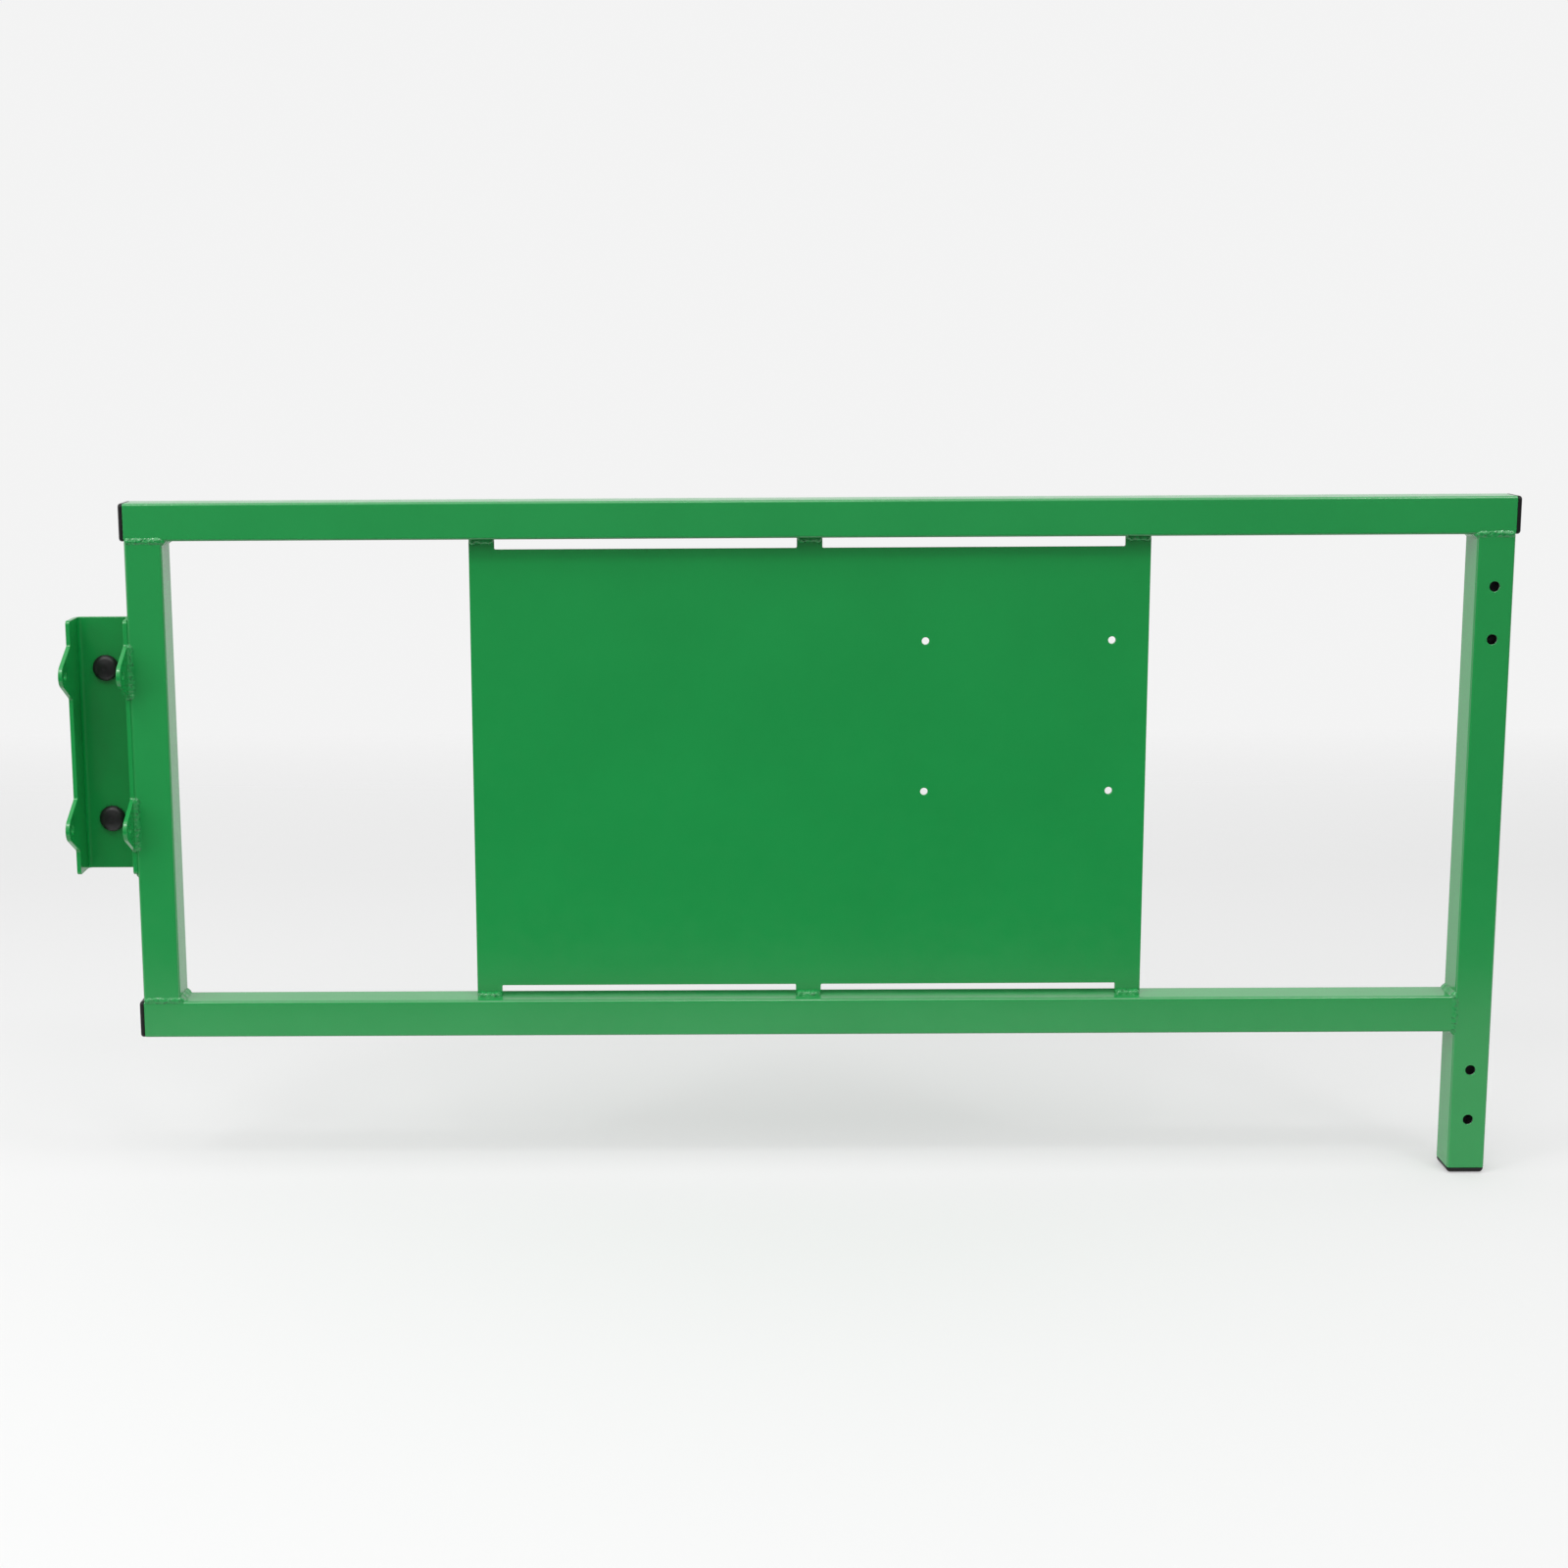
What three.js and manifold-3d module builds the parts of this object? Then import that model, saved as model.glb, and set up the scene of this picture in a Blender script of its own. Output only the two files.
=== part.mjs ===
// A livestock panel gate: a welded frame of square tube with a notched steel plate in the middle,
// a pressed socket bracket that straddles a fence post on the left, and a leg with bolt holes
// on the right. Millimetres, +Z up, the front towards -Y, X from left to right.
import * as THREE from "three";
import { mergeVertices } from "three/addons/utils/BufferGeometryUtils.js";
import Module from "manifold-3d";

const wasm = await Module();
wasm.setup();

// Frame: overall sizes
const gateWidth = 1460;
const frameHeight = 580;
const legDrop = 154; // leg below the underside of the bottom rail

// Square tube
const tubeSide = 40;
const tubeWall = 2;
const tubeCornerRadius = 3;

// Fits between pieces, and how far a cutter runs past what it cuts
const seatGap = 0.3;
const overrun = 5;

// Middle plate, with three tabs on each long edge
const plateThickness = 4;
const plateSideGap = 321; // from the left post to the plate
const tabWidth = 27;
const notchWidth = 320;
const notchDepth = 12;
const notchCornerRadius = 2;
const plateHoleDiameter = 8;
const plateHolePitchX = 198;
const plateHolePitchZ = 163;
const plateHoleEdge = 39; // from the right-hand holes to the plate's right edge
const plateHoleDrop = 112; // from the top rail down to the upper holes

// Bolt holes through the leg post, in an upper and a lower pair
const boltHoleDiameter = 11;
const boltHoleInset = 55;
const boltHolePitch = 56;

// Socket bracket, pressed from one plate
const bracketPlate = 4.5;
const bracketWidth = 65;
const bracketLength = 275;
const bracketDrop = 83.5; // from the top rail down to the bracket
const bracketBendRadius = 4; // inside the bend
const bracketCornerRadius = 4;
const earPitch = 165;
const earReach = 38;
const earBase = 57;
const earNoseRadius = 13;
const earRootRadius = 3;
const pinHoleDiameter = 9;

// Push-in rubber buffers on the bracket's web
const bufferDiameter = 28;
const bufferHeight = 8;
const bufferEdgeRadius = 4;
const bufferCrown = 1;
const stemDiameter = 10;
const barbDiameter = 14;
const barbTipDiameter = 8;
const barbLength = 8;

// Plastic inserts that close the tube ends
const capHead = 5;
const footHead = 6;
const capCornerRadius = 4;
const capEdgeRadius = 3;
const shankLength = 18;
const shankWall = 2.5;
const finReach = 1.4; // how far the fins stand out of the shank
const finThickness = 1.2;
const finPitch = 4.5;
const finCount = 3;

// Weld beads
const buttWidth = 8.4;
const buttCrown = 1.8;
const filletLeg = 5;
const tabLeg = 6;
const earLeg = 7;
const endBeadRise = 6;
const endBeadRun = 4;
const beadDepth = 0.5; // how far a bead bites into the steel
const beadInset = 1; // a bead stops this far short of the edge it runs to
const earBeadOverrun = 1; // the beads beside the ears wrap round both ends of an ear
const rippleHalfPitch = 3;
const rippleDipShare = 0.86;
const beadEndShare = 0.6;
const filletBulgeShare = 0.35;

// Facets: steps per rounded corner are twice these numbers
const tubeCornerSteps = 2;
const bracketArcSteps = 4;
const roundSteps = 24;
const edgeSteps = 4;
const buttSteps = 4;
const filletSteps = 3;

// Heights above the floor, and other places worked out from the sizes
const legEndZ = footHead + seatGap;
const bottomRailZ = legEndZ + legDrop;
const bottomRailTopZ = bottomRailZ + tubeSide;
const topRailTopZ = bottomRailZ + frameHeight;
const topRailZ = topRailTopZ - tubeSide;
const midDepth = tubeSide / 2;
const rightPostX = gateWidth - tubeSide;
const plateLeftX = tubeSide + plateSideGap;
const plateWidth = 3 * tabWidth + 2 * notchWidth;
const plateRightX = plateLeftX + plateWidth;
const plateFrontY = midDepth - plateThickness / 2;
const plateBackY = midDepth + plateThickness / 2;
const bracketTopZ = topRailZ - bracketDrop;
const bracketMidZ = bracketTopZ - bracketLength / 2;
const bracketRightX = -seatGap;
const bracketMidX = bracketRightX - bracketWidth / 2;
const webFaceY = tubeSide - bracketPlate;
const earCentresZ = [bracketMidZ + earPitch / 2, bracketMidZ - earPitch / 2];

const X = new THREE.Vector3(1, 0, 0);
const Y = new THREE.Vector3(0, 1, 0);
const Z = new THREE.Vector3(0, 0, 1);
const flip = (v) => v.clone().negate();

// Outlines are drawn in one of three views and extruded square to it
const planView = new THREE.Matrix4();
const sideView = new THREE.Matrix4().makeBasis(Y, Z, X);
const frontView = new THREE.Matrix4().makeBasis(X, Z, flip(Y));

const greenPaint = () =>
  new THREE.MeshStandardMaterial({ color: 0x2f9355, roughness: 0.38, metalness: 0, flatShading: true });
const blackPlastic = () =>
  new THREE.MeshStandardMaterial({ color: 0x1d1b1c, roughness: 0.55, metalness: 0, flatShading: true });
const blackRubber = () =>
  new THREE.MeshStandardMaterial({ color: 0x232022, roughness: 0.7, metalness: 0, flatShading: true });

function extrude(shape, depth, view, curveSegments) {
  const geometry = new THREE.ExtrudeGeometry(shape, { depth, bevelEnabled: false, curveSegments });
  return geometry.applyMatrix4(view);
}

function toSolid(geometry) {
  const bare = geometry.clone();
  bare.deleteAttribute("normal");
  bare.deleteAttribute("uv");
  const merged = mergeVertices(bare);
  const vertProperties = new Float32Array(merged.attributes.position.array);
  const triVerts = new Uint32Array(merged.index.array);
  return new wasm.Manifold(new wasm.Mesh({ numProp: 3, vertProperties, triVerts }));
}

function toGeometry(solid) {
  const { vertProperties, triVerts } = solid.getMesh();
  const geometry = new THREE.BufferGeometry();
  geometry.setAttribute("position", new THREE.BufferAttribute(vertProperties, 3));
  geometry.setIndex(new THREE.BufferAttribute(triVerts, 1));
  geometry.computeVertexNormals();
  return geometry;
}

function named(name, geometry, material) {
  const mesh = new THREE.Mesh(geometry, material);
  mesh.name = name;
  return mesh;
}

const cut = (solid, cutters) => cutters.reduce((left, cutter) => left.subtract(cutter), solid);

// A square with rounded corners about (0, 0), as an outline or as a hole in one
function roundedSquare(path, side, radius) {
  const straight = side / 2 - radius;
  path.moveTo(side / 2, -straight);
  path.absarc(straight, straight, radius, 0, Math.PI / 2, false);
  path.absarc(-straight, straight, radius, Math.PI / 2, Math.PI, false);
  path.absarc(-straight, -straight, radius, Math.PI, 1.5 * Math.PI, false);
  path.absarc(straight, -straight, radius, 1.5 * Math.PI, 2 * Math.PI, false);
  return path;
}

// Square tube about its own axis, from 0 to its length along the view's third direction
function squareTube(length, view) {
  const outline = roundedSquare(new THREE.Shape(), tubeSide, tubeCornerRadius);
  const boreRadius = tubeCornerRadius - tubeWall;
  outline.holes.push(roundedSquare(new THREE.Path(), tubeSide - 2 * tubeWall, boreRadius));
  return extrude(outline, length, view, tubeCornerSteps);
}

function crossHole(diameter, length, x, y, z) {
  const geometry = new THREE.CylinderGeometry(diameter / 2, diameter / 2, length, roundSteps);
  return toSolid(geometry.translate(x, y, z));
}

// Middle plate: tabs at both ends and the middle of its long edges reach the rails
function plateOutline() {
  const top = topRailZ - seatGap;
  const bottom = bottomRailTopZ + seatGap;
  const topNotch = topRailZ - notchDepth;
  const bottomNotch = bottomRailTopZ + notchDepth;
  const r = notchCornerRadius;
  const shape = new THREE.Shape();
  shape.moveTo(plateLeftX, bottom);
  for (let i = 0; i < 2; i += 1) {
    const from = plateLeftX + tabWidth + i * (notchWidth + tabWidth);
    const to = from + notchWidth;
    shape.lineTo(from, bottom);
    shape.lineTo(from, bottomNotch - r);
    shape.absarc(from + r, bottomNotch - r, r, Math.PI, Math.PI / 2, true);
    shape.absarc(to - r, bottomNotch - r, r, Math.PI / 2, 0, true);
    shape.lineTo(to, bottom);
  }
  shape.lineTo(plateRightX, bottom);
  shape.lineTo(plateRightX, top);
  for (let i = 1; i >= 0; i -= 1) {
    const from = plateLeftX + tabWidth + i * (notchWidth + tabWidth);
    const to = from + notchWidth;
    shape.lineTo(to, top);
    shape.lineTo(to, topNotch + r);
    shape.absarc(to - r, topNotch + r, r, 0, -Math.PI / 2, true);
    shape.absarc(from + r, topNotch + r, r, 1.5 * Math.PI, Math.PI, true);
    shape.lineTo(from, top);
  }
  shape.lineTo(plateLeftX, top);
  shape.closePath();
  return shape;
}

function middlePlate() {
  const blank = extrude(plateOutline(), plateThickness, frontView, tubeCornerSteps);
  const holes = [];
  const rightX = plateRightX - plateHoleEdge;
  const topZ = topRailZ - plateHoleDrop;
  for (const x of [rightX - plateHolePitchX, rightX]) {
    for (const z of [topZ, topZ - plateHolePitchZ]) {
      holes.push(crossHole(plateHoleDiameter, plateThickness + overrun, x, midDepth, z));
    }
  }
  return cut(toSolid(blank.translate(0, plateBackY, 0)), holes);
}

function legPost() {
  const length = topRailZ - seatGap - legEndZ;
  const blank = squareTube(length, planView).translate(rightPostX + tubeSide / 2, midDepth, legEndZ);
  const lowZ = legEndZ + boltHoleInset;
  const highZ = topRailZ - boltHoleInset;
  const levels = [highZ, highZ - boltHolePitch, lowZ + boltHolePitch, lowZ];
  const x = rightPostX + tubeSide / 2;
  return cut(
    toSolid(blank),
    levels.map((z) => crossHole(boltHoleDiameter, tubeSide + overrun, x, midDepth, z)),
  );
}

// The bracket's channel seen from above: a flat web between two flanges, bent at a steady radius.
// The flanges run forward to the ears' noses, and the side outline trims them.
function channelOutline() {
  const left = -bracketWidth / 2;
  const right = bracketWidth / 2;
  const inner = bracketBendRadius;
  const outer = bracketBendRadius + bracketPlate;
  const front = -earReach;
  const back = tubeSide;
  const shape = new THREE.Shape();
  shape.moveTo(right, front);
  shape.absarc(right - outer, back - outer, outer, 0, Math.PI / 2, false);
  shape.absarc(left + outer, back - outer, outer, Math.PI / 2, Math.PI, false);
  shape.lineTo(left, front);
  shape.lineTo(left + bracketPlate, front);
  shape.absarc(left + outer, back - outer, inner, Math.PI, Math.PI / 2, true);
  shape.absarc(right - outer, back - outer, inner, Math.PI / 2, 0, true);
  shape.lineTo(right - bracketPlate, front);
  shape.closePath();
  return shape;
}

// One ear of the side outline, from its upper root to its lower one: a straight flank from the
// flange's edge runs into a round nose, with a small fillet at the root.
function drawEar(shape, centreZ) {
  const noseY = -(earReach - earNoseRadius);
  const half = earBase / 2;
  const toNose = Math.hypot(noseY, half);
  const slope = Math.atan2(half, -noseY) - Math.asin(earNoseRadius / toNose);
  const rootLength = earRootRadius / Math.tan((Math.PI / 2 + slope) / 2);
  const rootZ = half + rootLength;
  shape.absarc(-earRootRadius, centreZ + rootZ, earRootRadius, 0, slope - Math.PI / 2, true);
  shape.absarc(noseY, centreZ, earNoseRadius, slope + Math.PI / 2, 1.5 * Math.PI - slope, false);
  shape.absarc(-earRootRadius, centreZ - rootZ, earRootRadius, Math.PI / 2 - slope, 0, true);
}

// The bracket seen from the side, in Y and Z
function bracketSideOutline() {
  const bottom = bracketTopZ - bracketLength;
  const r = bracketCornerRadius;
  const back = tubeSide + overrun;
  const shape = new THREE.Shape();
  shape.moveTo(back, bottom);
  shape.lineTo(back, bracketTopZ);
  shape.absarc(r, bracketTopZ - r, r, Math.PI / 2, Math.PI, false);
  for (const centreZ of earCentresZ) drawEar(shape, centreZ);
  shape.absarc(r, bottom + r, r, Math.PI, 1.5 * Math.PI, false);
  shape.closePath();
  return shape;
}

function socketBracket() {
  const channel = extrude(channelOutline(), bracketLength + 2 * overrun, planView, bracketArcSteps);
  channel.translate(bracketMidX, 0, bracketTopZ - bracketLength - overrun);
  const side = extrude(bracketSideOutline(), bracketWidth + 2 * overrun, sideView, bracketArcSteps);
  side.translate(bracketMidX - bracketWidth / 2 - overrun, 0, 0);
  const noseY = -(earReach - earNoseRadius);
  const cutters = [];
  for (const z of earCentresZ) {
    const radius = pinHoleDiameter / 2;
    const pin = new THREE.CylinderGeometry(radius, radius, bracketWidth + overrun, roundSteps);
    cutters.push(toSolid(pin.rotateZ(Math.PI / 2).translate(bracketMidX, noseY, z)));
    const stemHole = stemDiameter + 2 * seatGap;
    cutters.push(crossHole(stemHole, 2 * bracketPlate, bracketMidX, tubeSide - bracketPlate / 2, z));
  }
  return cut(toSolid(channel).intersect(toSolid(side)), cutters);
}

// A buffer is turned about its own axis along Y: a rounded head in front of the web,
// a stem through it, and a barb behind it.
function rubberBuffer() {
  const head = bufferDiameter / 2;
  const underside = webFaceY - seatGap;
  const rim = underside - bufferHeight + bufferCrown;
  const points = [new THREE.Vector2(0, underside - bufferHeight)];
  for (let i = 0; i <= edgeSteps; i += 1) {
    const angle = ((i / edgeSteps) * Math.PI) / 2;
    const r = head - bufferEdgeRadius + bufferEdgeRadius * Math.sin(angle);
    points.push(new THREE.Vector2(r, rim + bufferEdgeRadius * (1 - Math.cos(angle))));
  }
  points.push(new THREE.Vector2(head, underside));
  points.push(new THREE.Vector2(stemDiameter / 2, underside));
  points.push(new THREE.Vector2(stemDiameter / 2, tubeSide + seatGap));
  points.push(new THREE.Vector2(barbDiameter / 2, tubeSide + seatGap));
  points.push(new THREE.Vector2(barbTipDiameter / 2, tubeSide + seatGap + barbLength));
  points.push(new THREE.Vector2(0, tubeSide + seatGap + barbLength));
  return new THREE.LatheGeometry(points, roundSteps);
}

// A tube insert about its own axis: the head's outer face is at -head, the tube's end at seatGap,
// and the finned shank runs up +Z into the tube.
function tubeInsert(head) {
  const edge = { bevelEnabled: true, bevelThickness: capEdgeRadius, bevelSize: capEdgeRadius };
  edge.bevelOffset = -capEdgeRadius;
  edge.bevelSegments = edgeSteps;
  edge.curveSegments = tubeCornerSteps;
  edge.depth = capEdgeRadius;
  const plan = roundedSquare(new THREE.Shape(), tubeSide, capCornerRadius);
  const cushion = new THREE.ExtrudeGeometry(plan, edge).translate(0, 0, capEdgeRadius - head);
  const trim = new THREE.BoxGeometry(2 * tubeSide, 2 * tubeSide, tubeSide);
  const straight = head - capEdgeRadius;
  const slab = extrude(plan, straight, planView, tubeCornerSteps).translate(0, 0, -straight);
  const finSide = tubeSide - 2 * (tubeWall + seatGap);
  const shankSide = finSide - 2 * finReach;
  const finRadius = tubeCornerRadius - tubeWall;
  const shankPlan = roundedSquare(new THREE.Shape(), shankSide, finRadius);
  shankPlan.holes.push(roundedSquare(new THREE.Path(), shankSide - 2 * shankWall, finRadius));
  const bite = capHead - capEdgeRadius;
  const shank = extrude(shankPlan, shankLength + bite, planView, tubeCornerSteps);
  let insert = toSolid(cushion).subtract(toSolid(trim.translate(0, 0, tubeSide / 2)));
  insert = insert.add(toSolid(slab));
  insert = insert.add(toSolid(shank.translate(0, 0, -bite / 2)));
  for (let i = 1; i <= finCount; i += 1) {
    const finPlan = roundedSquare(new THREE.Shape(), finSide, finRadius);
    finPlan.holes.push(roundedSquare(new THREE.Path(), shankSide - shankWall, finRadius));
    const fin = extrude(finPlan, finThickness, planView, tubeCornerSteps);
    insert = insert.add(toSolid(fin.translate(0, 0, i * finPitch)));
  }
  return insert;
}

// A bead's section lies in the directions a and b, and the bead runs along a x b.
// A butt bead lies flat over a flush joint, with b pointing out of the steel.
function buttSection(scale) {
  const half = (buttWidth / 2) * (1 + scale) / 2;
  const points = [new THREE.Vector2(-half, -beadDepth), new THREE.Vector2(half, -beadDepth)];
  for (let i = 0; i <= buttSteps; i += 1) {
    const angle = (i / buttSteps) * Math.PI;
    points.push(new THREE.Vector2(half * Math.cos(angle), buttCrown * scale * Math.sin(angle)));
  }
  return points;
}

// A fillet bead fills the corner between two walls, one along a and one along b
function filletSection(legA, legB, scale) {
  const a = legA * scale;
  const b = legB * scale;
  const points = [new THREE.Vector2(-beadDepth, -beadDepth), new THREE.Vector2(a, -beadDepth)];
  for (let i = 0; i <= filletSteps; i += 1) {
    const angle = ((i / filletSteps) * Math.PI) / 2;
    const flat = 1 / (Math.cos(angle) + Math.sin(angle));
    const reach = flat + (1 - flat) * filletBulgeShare;
    points.push(new THREE.Vector2(a * reach * Math.cos(angle), b * reach * Math.sin(angle)));
  }
  points.push(new THREE.Vector2(-beadDepth, b));
  return points;
}

// A rippled run of weld metal: the section swells and dips in turn, and is smaller at both ends
function beadGeometry(section, length) {
  const steps = Math.max(2, 2 * Math.round(length / rippleHalfPitch / 2));
  const positions = [];
  const index = [];
  let ring = 0;
  for (let i = 0; i <= steps; i += 1) {
    const ripple = i % 2 === 1 ? 1 : rippleDipShare;
    const scale = i === 0 || i === steps ? beadEndShare : ripple;
    const points = section(scale);
    ring = points.length;
    for (const p of points) positions.push(p.x, p.y, (i / steps - 1 / 2) * length);
  }
  for (let i = 0; i < steps; i += 1) {
    for (let k = 0; k < ring; k += 1) {
      const here = i * ring + k;
      const next = i * ring + ((k + 1) % ring);
      index.push(here, next, next + ring, here, next + ring, here + ring);
    }
  }
  for (let k = 1; k < ring - 1; k += 1) {
    const last = steps * ring;
    index.push(0, k + 1, k, last, last + k, last + k + 1);
  }
  const geometry = new THREE.BufferGeometry();
  geometry.setAttribute("position", new THREE.Float32BufferAttribute(positions, 3));
  geometry.setIndex(index);
  geometry.computeVertexNormals();
  return geometry;
}

// Every bead sits in a shallow seat in the steel it joins, so each weld gives a mesh and a cutter
const welds = new THREE.Group();
const weldSeats = [];

function weld(name, section, span, centre, a, b, length) {
  const frame = new THREE.Matrix4().makeBasis(a, b, new THREE.Vector3().crossVectors(a, b));
  const mesh = named(name, beadGeometry(section, length), greenPaint());
  mesh.setRotationFromMatrix(frame);
  mesh.position.copy(centre);
  welds.add(mesh);
  const width = span.highA - span.lowA + 2 * seatGap;
  const height = span.highB + beadDepth + 2 * seatGap;
  const seat = new THREE.BoxGeometry(width, height, length + 2 * seatGap);
  seat.translate((span.highA + span.lowA) / 2, height / 2 - beadDepth - seatGap, 0);
  seat.applyMatrix4(frame.setPosition(centre));
  weldSeats.push(toSolid(seat));
}

function buttWeld(name, centre, a, out, length) {
  const span = { lowA: -buttWidth / 2, highA: buttWidth / 2, highB: buttCrown };
  weld(name, buttSection, span, centre, a, out, length);
}

function filletWeld(name, centre, a, b, length, legA, legB) {
  const span = { lowA: -beadDepth, highA: legA, highB: legB };
  weld(name, (scale) => filletSection(legA, legB, scale), span, centre, a, b, length);
}

// Front, back and inside beads where a post's end meets a rail
function postEndWelds(corner, postMidX, railZ, inside, away) {
  const run = tubeSide - 2 * beadInset;
  const insideX = postMidX + inside.x * (tubeSide / 2);
  buttWeld("weld_" + corner + "_front", new THREE.Vector3(postMidX, 0, railZ), Z, flip(Y), run);
  buttWeld("weld_" + corner + "_back", new THREE.Vector3(postMidX, tubeSide, railZ), Z, Y, run);
  const centre = new THREE.Vector3(insideX, midDepth, railZ);
  filletWeld("weld_" + corner + "_inside", centre, inside, away, run, filletLeg, filletLeg);
}

postEndWelds("top_left", midDepth, topRailZ, X, flip(Z));
postEndWelds("top_right", rightPostX + tubeSide / 2, topRailZ, flip(X), flip(Z));
postEndWelds("bottom_left", midDepth, bottomRailTopZ, X, Z);

// The bottom rail's end is welded all round to the leg post's side
const railRun = tubeSide - 2 * beadInset;
const railMidZ = bottomRailZ + tubeSide / 2;
buttWeld("weld_bottom_right_front", new THREE.Vector3(rightPostX, 0, railMidZ), X, flip(Y), railRun);
buttWeld("weld_bottom_right_back", new THREE.Vector3(rightPostX, tubeSide, railMidZ), X, Y, railRun);
for (const [side, z, away] of [["above", bottomRailTopZ, Z], ["below", bottomRailZ, flip(Z)]]) {
  const centre = new THREE.Vector3(rightPostX, midDepth, z);
  const name = "weld_bottom_right_" + side;
  filletWeld(name, centre, flip(X), away, railRun, filletLeg, filletLeg);
}

// Both sides of each of the plate's six tabs
for (const [edge, z, away] of [["top", topRailZ, flip(Z)], ["bottom", bottomRailTopZ, Z]]) {
  for (let i = 0; i < 3; i += 1) {
    const x = plateLeftX + tabWidth / 2 + i * (notchWidth + tabWidth);
    for (const [side, y, out] of [["front", plateFrontY, flip(Y)], ["back", plateBackY, Y]]) {
      const name = "weld_" + edge + "_tab_" + (i + 1) + "_" + side;
      const run = tabWidth - 2 * beadInset;
      filletWeld(name, new THREE.Vector3(x, y, z), out, away, run, tabLeg, tabLeg);
    }
  }
}

// The bracket is welded along the ears in front, and over both ends of its right flange
for (const [place, z] of [["upper", earCentresZ[0]], ["lower", earCentresZ[1]]]) {
  const centre = new THREE.Vector3(0, 0, z);
  const run = earBase + 2 * earBeadOverrun;
  filletWeld("weld_" + place + "_ear", centre, X, flip(Y), run, earLeg, earLeg);
}
const bracketEnds = [["top", bracketTopZ, Z], ["bottom", bracketTopZ - bracketLength, flip(Z)]];
for (const [end, z, away] of bracketEnds) {
  const centre = new THREE.Vector3(0, midDepth, z);
  const run = tubeSide - 2 * bracketCornerRadius;
  filletWeld("weld_bracket_" + end, centre, flip(X), away, run, endBeadRun, endBeadRise);
}

// Steel members, each with the seats of the beads that bite into it
const steel = new THREE.Group();
const frameMember = (name, solid) => steel.add(named(name, toGeometry(cut(solid, weldSeats)), greenPaint()));
const postLength = topRailZ - bottomRailTopZ - 2 * seatGap;
const topRail = squareTube(gateWidth, sideView).translate(0, midDepth, topRailZ + tubeSide / 2);
const bottomRail = squareTube(rightPostX - seatGap, sideView).translate(0, midDepth, railMidZ);
const leftPost = squareTube(postLength, planView).translate(midDepth, midDepth, bottomRailTopZ + seatGap);
frameMember("top_rail", toSolid(topRail));
frameMember("bottom_rail", toSolid(bottomRail));
frameMember("left_post", toSolid(leftPost));
frameMember("leg_post", legPost());
frameMember("middle_plate", middlePlate());
frameMember("socket_bracket", socketBracket());

const fittings = new THREE.Group();
for (const [place, z] of [["upper", earCentresZ[0]], ["lower", earCentresZ[1]]]) {
  const buffer = named(place + "_buffer", rubberBuffer(), blackRubber());
  buffer.position.set(bracketMidX, 0, z);
  fittings.add(buffer);
}

// Each insert's tube end lies at seatGap in front of its own origin
function addInsert(name, head, x, z, turnY) {
  const insert = named(name, toGeometry(tubeInsert(head)), blackPlastic());
  insert.position.set(x, midDepth, z);
  insert.rotation.y = turnY;
  fittings.add(insert);
}

addInsert("top_rail_left_cap", capHead, -seatGap, topRailZ + tubeSide / 2, Math.PI / 2);
addInsert("top_rail_right_cap", capHead, gateWidth + seatGap, topRailZ + tubeSide / 2, -Math.PI / 2);
addInsert("bottom_rail_left_cap", capHead, -seatGap, railMidZ, Math.PI / 2);
addInsert("leg_foot_cap", footHead, rightPostX + tubeSide / 2, legEndZ - seatGap, 0);

// The origin is the middle of the bracket's web face, where the gate hangs on its post
const gate = new THREE.Group();
gate.add(steel, fittings, welds);
gate.position.set(-bracketMidX, -webFaceY, -bracketMidZ);

export default gate;
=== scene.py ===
import math
import random

import bmesh
import bpy
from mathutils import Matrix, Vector, noise
from mathutils.geometry import tessellate_polygon

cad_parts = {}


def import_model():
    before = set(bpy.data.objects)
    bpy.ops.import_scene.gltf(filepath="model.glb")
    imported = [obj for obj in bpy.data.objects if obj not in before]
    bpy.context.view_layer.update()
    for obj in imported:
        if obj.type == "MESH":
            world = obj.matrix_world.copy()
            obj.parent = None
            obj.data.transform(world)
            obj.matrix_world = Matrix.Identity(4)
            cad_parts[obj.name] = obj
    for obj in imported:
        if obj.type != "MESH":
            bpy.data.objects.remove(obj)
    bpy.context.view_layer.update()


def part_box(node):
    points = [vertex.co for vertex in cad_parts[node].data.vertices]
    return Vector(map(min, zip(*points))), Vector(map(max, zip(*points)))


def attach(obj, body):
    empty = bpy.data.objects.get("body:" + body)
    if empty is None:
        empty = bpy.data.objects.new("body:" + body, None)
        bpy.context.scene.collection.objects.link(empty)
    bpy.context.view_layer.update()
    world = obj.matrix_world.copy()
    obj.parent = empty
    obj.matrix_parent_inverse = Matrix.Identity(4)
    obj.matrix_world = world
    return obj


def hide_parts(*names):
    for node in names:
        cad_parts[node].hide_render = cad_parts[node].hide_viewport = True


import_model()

# Sizes are in millimetres, in the gate's own coordinates: X from the rails' left end,
# Y from the tubes' front faces, Z from the floor. ORIGIN takes them to the row frame.
MM = 0.001
rail_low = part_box("top_rail")[0]
ORIGIN = Vector((rail_low[0], rail_low[1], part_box("leg_foot_cap")[0][2]))

TUBE = 40.0  # outer side of each square tube
WALL = 2.0
CORNER = 3.0  # outer corner radius of a tube
SEAT = 0.3  # clearance of a CAD piece from the one that it seats on

BOLT_HOLE = 11.0
BOLT_INSET = 55  # from an end of the leg post to its nearer bolt hole
BOLT_PITCH = 56

TAB = 27.0
NOTCH = 320.0
NOTCH_DEPTH = 12.0

BRACKET_PLATE = 4.5
BRACKET_BEND = 4.0  # radius inside the bend
EAR_PITCH = 165.0

CREASE = 34  # degrees: edges on steel that turn more than this stay sharp
SOFT_CREASE = 40  # the same on plastic, rubber and the seam

X, Y, Z = Vector((1, 0, 0)), Vector((0, 1, 0)), Vector((0, 0, 1))


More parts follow.
